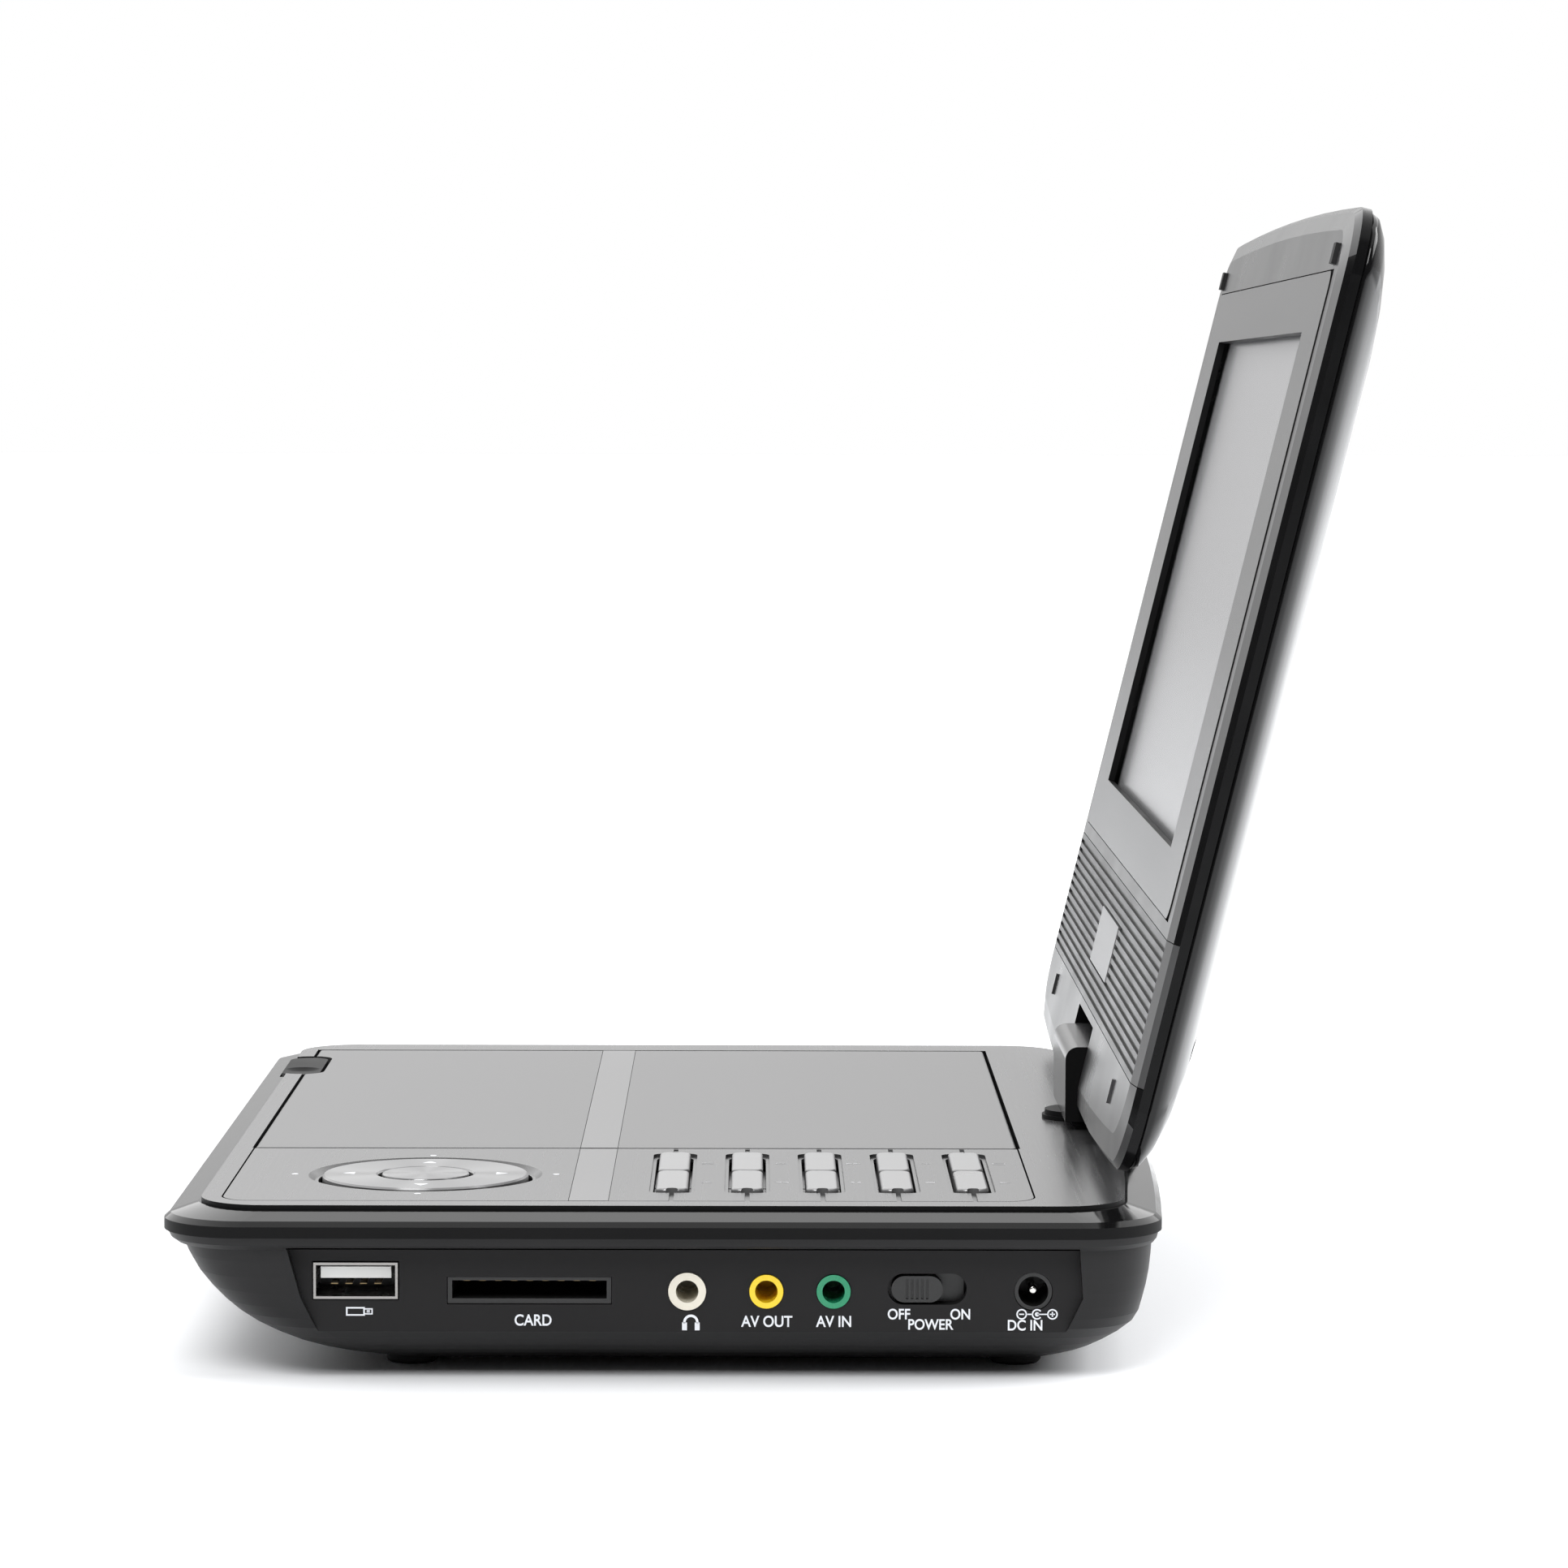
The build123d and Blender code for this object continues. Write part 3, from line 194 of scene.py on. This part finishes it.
LOOKS = {
    housing: ["lower_housing"],
    gloss: ["back_cover"],
    satin_lid: ["lid_frame"],
    satin_black: ["turret", "open_button"],
    film: ["upper_housing", "control_panel"],
    door_film: ["disc_door"],
    bezel_film: ["screen_bezel"],
    stripe: ["panel_stripe", "door_stripe"],
    silver: [n for n in nodes if "_key_" in n],
    spun: ["nav_ring", "nav_button"],
    rubber: ["rubber_feet", "grommets", "lid_pads"],
    zinc: ["case_screws", "loader_screws", "lid_screws"],
    sheet_steel: ["loader_chassis", "swivel_plate", "swivel_clip", "hinge_arms"],
    dull_steel: ["usb_shell"],
    plated: ["dc_pin", "guide_rods", "lead_screw", "hinge_pin", "spindle_motor", "sled_motor"],
    solder_mask: ["key_board", "main_board", "lid_board"],
    wrap: ["battery_pack"],
    black_plastic: ["card_socket", "dc_jack", "switch_body", "power_slider", "disc_tray", "turntable",
                    "speakers"],
    white_plastic: ["usb_tongue"],
    cream: ["headphone_jack"],
    yellow: ["av_out_jack"],
    green: ["av_in_jack"],
    grille: ["speaker_grille"],
    plate: ["name_plate"],
    lcd: ["lcd_panel"],
    lens: ["pickup_lens"],
    cast: ["laser_sled"],
}
SMOOTH_BELOW = radians(24)
SMOOTH_BELOW_CURVED = radians(50)     # for the shells whose curve is built in steps
CURVED = ("back_cover", "lower_housing")
for look, names in LOOKS.items():
    for name in names:
        mesh = nodes[name].data
        mesh.materials.clear()
        mesh.materials.append(look)
        mesh.polygons.foreach_set("use_smooth", [True] * len(mesh.polygons))
        mesh.set_sharp_from_angle(angle=SMOOTH_BELOW_CURVED if name in CURVED else SMOOTH_BELOW)

# the curved back of the lid shades as one surface: its doubled corners are joined, its shape stays
WELD_WITHIN = 0.005 * MM
weld = nodes["back_cover"].modifiers.new("weld", "WELD")
weld.merge_threshold = WELD_WITHIN
even = nodes["back_cover"].modifiers.new("even_shading", "WEIGHTED_NORMAL")
even.keep_sharp = True


def second_look(node, look, chosen):
    """Gives the faces of a CAD node that the test chooses another material."""
    mesh = nodes[node].data
    mesh.materials.append(look)
    for face in mesh.polygons:
        if chosen(face):
            face.material_index = len(mesh.materials) - 1


# the film covers only the flat top of the base; the rim around it is polished
film_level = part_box("upper_housing")[1].z - 0.05 * MM
second_look("upper_housing", gloss, lambda face: face.center.z < film_level)
second_look("upper_housing", satin_black, lambda face: face.center.z < film_level and face.normal.z < 0.35)
# the lid's edges are polished, its inner face is satin
LID_LEAN = radians(13.8)     # from upright
inward = Vector((0, -cos(LID_LEAN), sin(LID_LEAN)))
FACES_IN = 0.75              # least cosine for a face that counts as turned inward
second_look("lid_frame", edge_black, lambda face: face.normal.dot(inward) < FACES_IN)
# the walls round the display are black; the lower pair of bumpers is as grey as the lid
second_look("screen_bezel", satin_black, lambda face: face.normal.dot(inward) < FACES_IN)
pads_middle = mid("lid_pads").z
second_look("lid_pads", satin_lid, lambda face: face.center.z < pads_middle)
# the neck of the hinge is black; its faces turned to the screen get a lighter satin as a painted reflection,
# so its ends stay darker
NECK_HEIGHT = 12 * MM
neck_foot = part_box("turret")[1].z - NECK_HEIGHT
second_look("turret", bezel_film, lambda face: abs(face.normal.x) < 0.5 and face.center.z > neck_foot)
# the flat socket panel is a shade lighter than the rest of the housing
JACK_LIP = 0.3 * MM          # how far the jacks stand out of the panel
panel_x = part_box("headphone_jack")[1].x - JACK_LIP
second_look("lower_housing", socket_panel,
            lambda face: face.normal.x > 0.99 and abs(face.center.x - panel_x) < 0.05 * MM)
# the back of the data socket is dark behind its white tongue
TONGUE_BACK = 2.1 * MM
tongue_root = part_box("usb_tongue")[0].x + TONGUE_BACK
second_look("usb_tongue", black_plastic, lambda face: face.center.x < tongue_root)


# ---------------------------------------------------------------- printed marks and small parts
def piece(name, data, look, body, place=None):
    """Adds an object to the scene, at its place, and lets it ride on a body."""
    thing = bpy.data.objects.new(name, data)
    bpy.context.scene.collection.objects.link(thing)
    data.materials.append(look)
    if place:
        thing.matrix_world = place
    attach(thing, body)
    return thing


INK_THICK = 0.03 * MM
LETTER_WIDTH = 0.88          # the letters are slightly condensed
LETTER_WEIGHT = 0.04 * MM    # and slightly bold
CAPITAL_HEIGHT = 0.7         # of a capital, as a part of the font's size
FACES_SIDE = Matrix(((0, 0, 1), (1, 0, 0), (0, 1, 0)))  # text reads along +Y, up is +Z


def side_label(name, words, y, z, height):
    """A generic word printed on the socket panel; y and z give its middle."""
    text = bpy.data.curves.new(name, "FONT")
    text.body = words
    text.size = height / CAPITAL_HEIGHT
    text.extrude = INK_THICK / 2
    text.align_x = "CENTER"
    text.align_y = "CENTER"
    text.offset = LETTER_WEIGHT
    narrow = Matrix.Diagonal((LETTER_WIDTH, 1, 1, 1))
    place = Matrix.Translation((panel_x + INK_THICK / 2, y, z)) @ FACES_SIDE.to_4x4() @ narrow
    return piece(name, text, ink, "base", place)


def sheet_mesh(name, outlines, to_world, look, body, thick=INK_THICK):
    """Flat printed shapes: each outline is a closed loop of points in the print's own plane."""
    mesh = bpy.data.meshes.new(name)
    made = bmesh.new()
    for loop in outlines:
        face = made.faces.new([made.verts.new((x, y, 0)) for x, y in loop])
        rise = bmesh.ops.extrude_face_region(made, geom=[face])
        bmesh.ops.translate(made, verts=[v for v in rise["geom"] if isinstance(v, bmesh.types.BMVert)],
                            vec=(0, 0, thick))
    bmesh.ops.recalc_face_normals(made, faces=made.faces)
    made.transform(to_world)
    made.to_mesh(mesh)
    made.free()
    return piece(name, mesh, look, body)


def ring_loops(middle, radius, width, start=0.0, stop=360.0, steps=40):
    """A flat arc or ring as a row of four-sided faces."""
    cx, cy = middle
    loops = []
    for step in range(steps):
        a, b = (radians(start + (stop - start) * (step + s) / steps) for s in (0, 1))
        inner, outer = radius - width / 2, radius + width / 2
        loops.append([(cx + inner * cos(a), cy + inner * sin(a)), (cx + outer * cos(a), cy + outer * sin(a)),
                      (cx + outer * cos(b), cy + outer * sin(b)), (cx + inner * cos(b), cy + inner * sin(b))])
    return loops


def rect(x0, y0, x1, y1):
    return [(x0, y0), (x1, y0), (x1, y1), (x0, y1)]


def scaled(loops, factor=MM):
    return [[(x * factor, y * factor) for x, y in loop] for loop in loops]


def on_side(y, z):
    return Matrix.Translation((panel_x, y, z)) @ FACES_SIDE.to_4x4()


phones = mid("headphone_jack").y
av_out = mid("av_out_jack").y
av_in = mid("av_in_jack").y
power = mid("switch_body").y
dc = mid("dc_jack").y
usb = mid("usb_shell").y
card = mid("card_socket").y

WORD_HEIGHT = 1.75 * MM
SMALL_WORD_HEIGHT = 1.65 * MM
side_label("label_card", "CARD", card + 0.6 * MM, 9.65 * MM, WORD_HEIGHT)
side_label("label_av_out", "AV OUT", av_out + 0.1 * MM, 9.5 * MM, WORD_HEIGHT)
side_label("label_av_in", "AV IN", av_in + 0.1 * MM, 9.5 * MM, WORD_HEIGHT)
side_label("label_off", "OFF", power - 4.5 * MM, 10.7 * MM, SMALL_WORD_HEIGHT)
side_label("label_on", "ON", power + 5.3 * MM, 10.7 * MM, SMALL_WORD_HEIGHT)
side_label("label_power", "POWER", power + 0.5 * MM, 9.05 * MM, SMALL_WORD_HEIGHT)
side_label("label_dc", "DC IN", dc - 1.3 * MM, 8.95 * MM, SMALL_WORD_HEIGHT)

# plug pictogram under the data socket
plug = [rect(-2.1, -0.7, 0.4, -0.45), rect(-2.1, 0.45, 0.4, 0.7), rect(-2.35, -0.7, -2.1, 0.7),
        rect(0.4, -0.7, 0.65, 0.7), rect(0.65, -0.5, 1.9, -0.3), rect(0.65, 0.3, 1.9, 0.5),
        rect(1.7, -0.3, 1.9, 0.3), rect(0.95, -0.18, 1.45, -0.02), rect(0.95, 0.05, 1.45, 0.2)]
sheet_mesh("mark_plug", scaled(plug), on_side(usb + 0.8 * MM, 11.1 * MM), ink, "base")
# headphones: a bow and two cushions
bow = ring_loops((0, 0.15), 1.02, 0.4, -10, 190, 24)
bow += [rect(-1.4, -1.15, -0.62, 0.1), rect(0.62, -1.15, 1.4, 0.1)]
sheet_mesh("mark_phones", scaled(bow), on_side(phones + 0.6 * MM, 9.3 * MM), ink, "base")
# polarity of the supply socket: minus, centre pin, plus
signs = []
for spot in (-2.45, 2.45):
    signs += ring_loops((spot, 0), 0.74, 0.22)
    signs.append(rect(spot - 0.4, -0.1, spot + 0.4, 0.1))
signs.append(rect(2.35, -0.4, 2.55, 0.4))
signs += ring_loops((0, 0), 0.74, 0.22, 40, 320, 30)
signs += ring_loops((0, 0), 0.18, 0.34)
signs += [rect(-1.7, -0.1, -0.75, 0.1), rect(0.0, -0.1, 1.7, 0.1)]
sheet_mesh("mark_polarity", scaled(signs), on_side(dc + 0.6 * MM, 10.8 * MM), ink, "base")

# ---------------------------------------------------------------- marks on the control panel
pad = mid("nav_button")
top_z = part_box("control_panel")[1].z
ring_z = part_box("nav_ring")[1].z
TOP_MARK = 0.02 * MM


def on_top(x, y, z):
    """Prints on the top are read from the side with the sockets: their right is +Y, their up is -X."""
    turn = Matrix(((0, -1, 0), (1, 0, 0), (0, 0, 1)))
    return Matrix.Translation((x, y, z)) @ turn.to_4x4()


def dot(middle, radius):
    """A round spot, as a twenty-sided outline."""
    return [(middle[0] + radius * cos(2 * pi * i / 20), middle[1] + radius * sin(2 * pi * i / 20))
            for i in range(20)]


DOT_RING = 21.6      # mm from the middle of the pad
ARROW_RING = 12.4
QUARTERS = (0, pi / 2, pi, 3 * pi / 2)
dots = [dot((DOT_RING * cos(a), DOT_RING * sin(a)), 0.55) for a in QUARTERS]
sheet_mesh("pad_dots", scaled(dots), on_top(pad.x, pad.y, top_z), ink, "base", TOP_MARK)
arrows = []
for turn in QUARTERS:
    corners = [(ARROW_RING + 1.3, 0), (ARROW_RING - 0.7, 1.2), (ARROW_RING - 0.7, -1.2)]
    arrows.append([(x * cos(turn) - y * sin(turn), x * sin(turn) + y * cos(turn)) for x, y in corners])
sheet_mesh("pad_arrows", scaled(arrows), on_top(pad.x, pad.y, ring_z), ink, "nav_ring", TOP_MARK)

# generic player symbols beside the keys
PLAY = [[(-0.8, -0.9), (0.9, 0), (-0.8, 0.9)]]
PAUSE = [rect(-0.8, -0.8, -0.25, 0.8), rect(0.25, -0.8, 0.8, 0.8)]
STOP = [rect(-0.75, -0.75, 0.75, 0.75)]
FORWARD = [[(-1.2, -0.8), (0, 0), (-1.2, 0.8)], [(0, -0.8), (1.2, 0), (0, 0.8)]]
BACK = [[(-x, y) for x, y in reversed(loop)] for loop in FORWARD]
EJECT = [[(-0.9, -0.1), (0.9, -0.1), (0, 0.9)], rect(-0.9, -0.8, 0.9, -0.4)]
LIST = [rect(-1.0, y, 1.0, y + 0.3) for y in (-0.9, -0.2, 0.5)]
LOOP = ring_loops((0, 0), 0.75, 0.25, 20, 330, 20)
SCREEN_SIGN = [rect(-1.1, -0.8, 1.1, -0.55), rect(-1.1, 0.55, 1.1, 0.8), rect(-1.1, -0.55, -0.85, 0.55),
               rect(0.85, -0.55, 1.1, 0.55)]
PLUS = [rect(-0.9, -0.13, 0.9, 0.13), rect(-0.13, -0.9, 0.13, 0.9)]
SYMBOLS = {"inner": [LIST, LOOP, FORWARD, PLUS, SCREEN_SIGN], "outer": [EJECT, BACK, PAUSE, STOP, PLAY]}
SYMBOL_ASIDE = 5.6 * MM
for row, symbols in SYMBOLS.items():
    for number, symbol in enumerate(symbols, start=1):
        spot = mid(f"{row}_key_{number}")
        sheet_mesh(f"symbol_{row}_{number}", scaled(symbol),
                   on_top(spot.x, spot.y + SYMBOL_ASIDE, top_z), faint_ink, "base", TOP_MARK)


# ---------------------------------------------------------------- contacts inside the sockets
def contacts(name, count, pitch, size, middle, body="base"):
    """A row of sprung contact strips, each bent up at its tip."""
    mesh = bpy.data.meshes.new(name)
    made = bmesh.new()
    long, wide, thick = size
    profile = [(0, 0), (-0.75 * long, 0), (-0.9 * long, -1.2 * thick), (-long, -0.6 * thick)]
    for index in range(count):
        y = middle[1] + (index - (count - 1) / 2) * pitch
        rows = []
        for lift in (0, -thick):
            for side in (-wide / 2, wide / 2):
                rows.append([made.verts.new((middle[0] + x, y + side, middle[2] + z + lift))
                             for x, z in profile])
        low_left, low_right, high_left, high_right = rows
        for a, b in zip(range(3), range(1, 4)):
            made.faces.new((low_left[a], low_right[a], low_right[b], low_left[b]))
            made.faces.new((high_left[a], high_left[b], high_right[b], high_right[a]))
            made.faces.new((low_left[a], low_left[b], high_left[b], high_left[a]))
            made.faces.new((low_right[a], high_right[a], high_right[b], low_right[b]))
        made.faces.new((low_left[0], high_left[0], high_right[0], low_right[0]))
        made.faces.new((low_left[3], low_right[3], high_right[3], high_left[3]))
    bmesh.ops.recalc_face_normals(made, faces=made.faces)
    made.to_mesh(mesh)
    made.free()
    return piece(name, mesh, bronze, body)


tongue_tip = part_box("usb_tongue")[1].x
contacts("usb_contacts", 4, 2.3 * MM, (7 * MM, 1.1 * MM, 0.15 * MM),
         (tongue_tip - 0.4 * MM, usb, mid("usb_shell").z + 0.28 * MM))
card_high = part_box("card_socket")[1]
contacts("card_contacts", 9, 2.5 * MM, (6 * MM, 1.0 * MM, 0.2 * MM),
         (card_high.x - 1.6 * MM, card, card_high.z - 0.62 * MM))


# ---------------------------------------------------------------- light, floor and camera
def floor(size=14.0):
    """A plain pale floor, wide enough to reach past the view."""
    mesh = bpy.data.meshes.new("floor")
    made = bmesh.new()
    bmesh.ops.create_grid(made, x_segments=8, y_segments=8, size=size)
    made.to_mesh(mesh)
    made.free()
    thing = bpy.data.objects.new("floor", mesh)
    bpy.context.scene.collection.objects.link(thing)
    look = Shader("pale_floor", Specular_IOR_Level=0.15)
    slow = look.noise(3, 2)
    look.colour(slow, (0.94, 0.95, 0.97), (0.955, 0.965, 0.98))
    look.rough(slow, 0.6, 0.7)
    mesh.materials.append(look.material)


BRIGHT_BEHIND = 0.76     # strength of the surroundings on the side away from the camera
DIM_IN_FRONT = 0.1


def studio_world():
    """White behind the object, dimmer on the camera's side, and white wherever it is seen directly."""
    world = bpy.data.worlds.new("studio")
    bpy.context.scene.world = world
    world.use_nodes = True
    tree = world.node_tree
    background = tree.nodes["Background"]
    direction = tree.nodes.new("ShaderNodeTexCoord")
    split = tree.nodes.new("ShaderNodeSeparateXYZ")
    tree.links.new(direction.outputs["Generated"], split.inputs["Vector"])
    side = tree.nodes.new("ShaderNodeMapRange")
    side.interpolation_type = "SMOOTHSTEP"
    side.inputs["From Min"].default_value = -0.55
    side.inputs["From Max"].default_value = 0.35
    side.inputs["To Min"].default_value = BRIGHT_BEHIND
    side.inputs["To Max"].default_value = DIM_IN_FRONT
    tree.links.new(split.outputs["X"], side.inputs["Value"])
    seen = tree.nodes.new("ShaderNodeLightPath")
    choose = tree.nodes.new("ShaderNodeMix")
    choose.inputs[3].default_value = 1.0
    tree.links.new(seen.outputs["Is Camera Ray"], choose.inputs[0])
    tree.links.new(side.outputs["Result"], choose.inputs[2])
    tree.links.new(choose.outputs[0], background.inputs["Strength"])
    background.inputs["Color"].default_value = (1, 1, 1, 1)


def softbox(name, place, aim, size, watts):
    """A rectangular studio lamp that the camera doesn't see."""
    light = bpy.data.lights.new(name, "AREA")
    light.shape = "RECTANGLE"
    light.size, light.size_y = size
    light.energy = watts
    thing = bpy.data.objects.new(name, light)
    thing.location = place
    thing.rotation_euler = (Vector(aim) - Vector(place)).to_track_quat("-Z", "Y").to_euler()
    bpy.context.scene.collection.objects.link(thing)
    thing.visible_camera = False


floor()
studio_world()
SKY_FROM = (-0.45, -0.12, 1.0)
sun = bpy.data.lights.new("wide_sky", "SUN")
sun.energy = 2.5
sun.angle = radians(110)
sky = bpy.data.objects.new("wide_sky", sun)
sky.rotation_euler = Vector(SKY_FROM).to_track_quat("Z", "Y").to_euler()
bpy.context.scene.collection.objects.link(sky)
bpy.context.scene.view_settings.view_transform = "Standard"

# place and aim in metres, size in metres, watts
softbox("front_box", (1.7, -0.5, 2.0), (0, 0, 0.02), (1.2, 1.2), 42)
softbox("right_box", (-0.1, 1.6, 1.1), (0, 0.15, 0), (1.6, 1.0), 34)

LENS = 121.83        # mm, on a sensor 36 mm wide
SENSOR = 36.0
YAW = 0.0058         # radians
PITCH = 0.0723
ROLL = 0.0026
CAMERA_X = 942.3 * MM
CAMERA_ASIDE = 94.25 * MM    # behind the front edge of the base
CAMERA_Z = 155.9 * MM
ahead = Vector((-cos(PITCH) * cos(YAW), cos(PITCH) * sin(YAW), -sin(PITCH)))
right = ahead.cross(Vector((0, 0, 1))).normalized()
up = right.cross(ahead)
right, up = right * cos(ROLL) + up * sin(ROLL), up * cos(ROLL) - right * sin(ROLL)
camera = bpy.data.objects.new("camera", bpy.data.cameras.new("camera"))
bpy.context.scene.collection.objects.link(camera)
camera.data.sensor_width = SENSOR
camera.data.lens = LENS
place = Vector((CAMERA_X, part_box("upper_housing")[0].y + CAMERA_ASIDE, CAMERA_Z))
camera.matrix_world = Matrix.Translation(place) @ Matrix((right, up, -ahead)).transposed().to_4x4()
bpy.context.scene.camera = camera
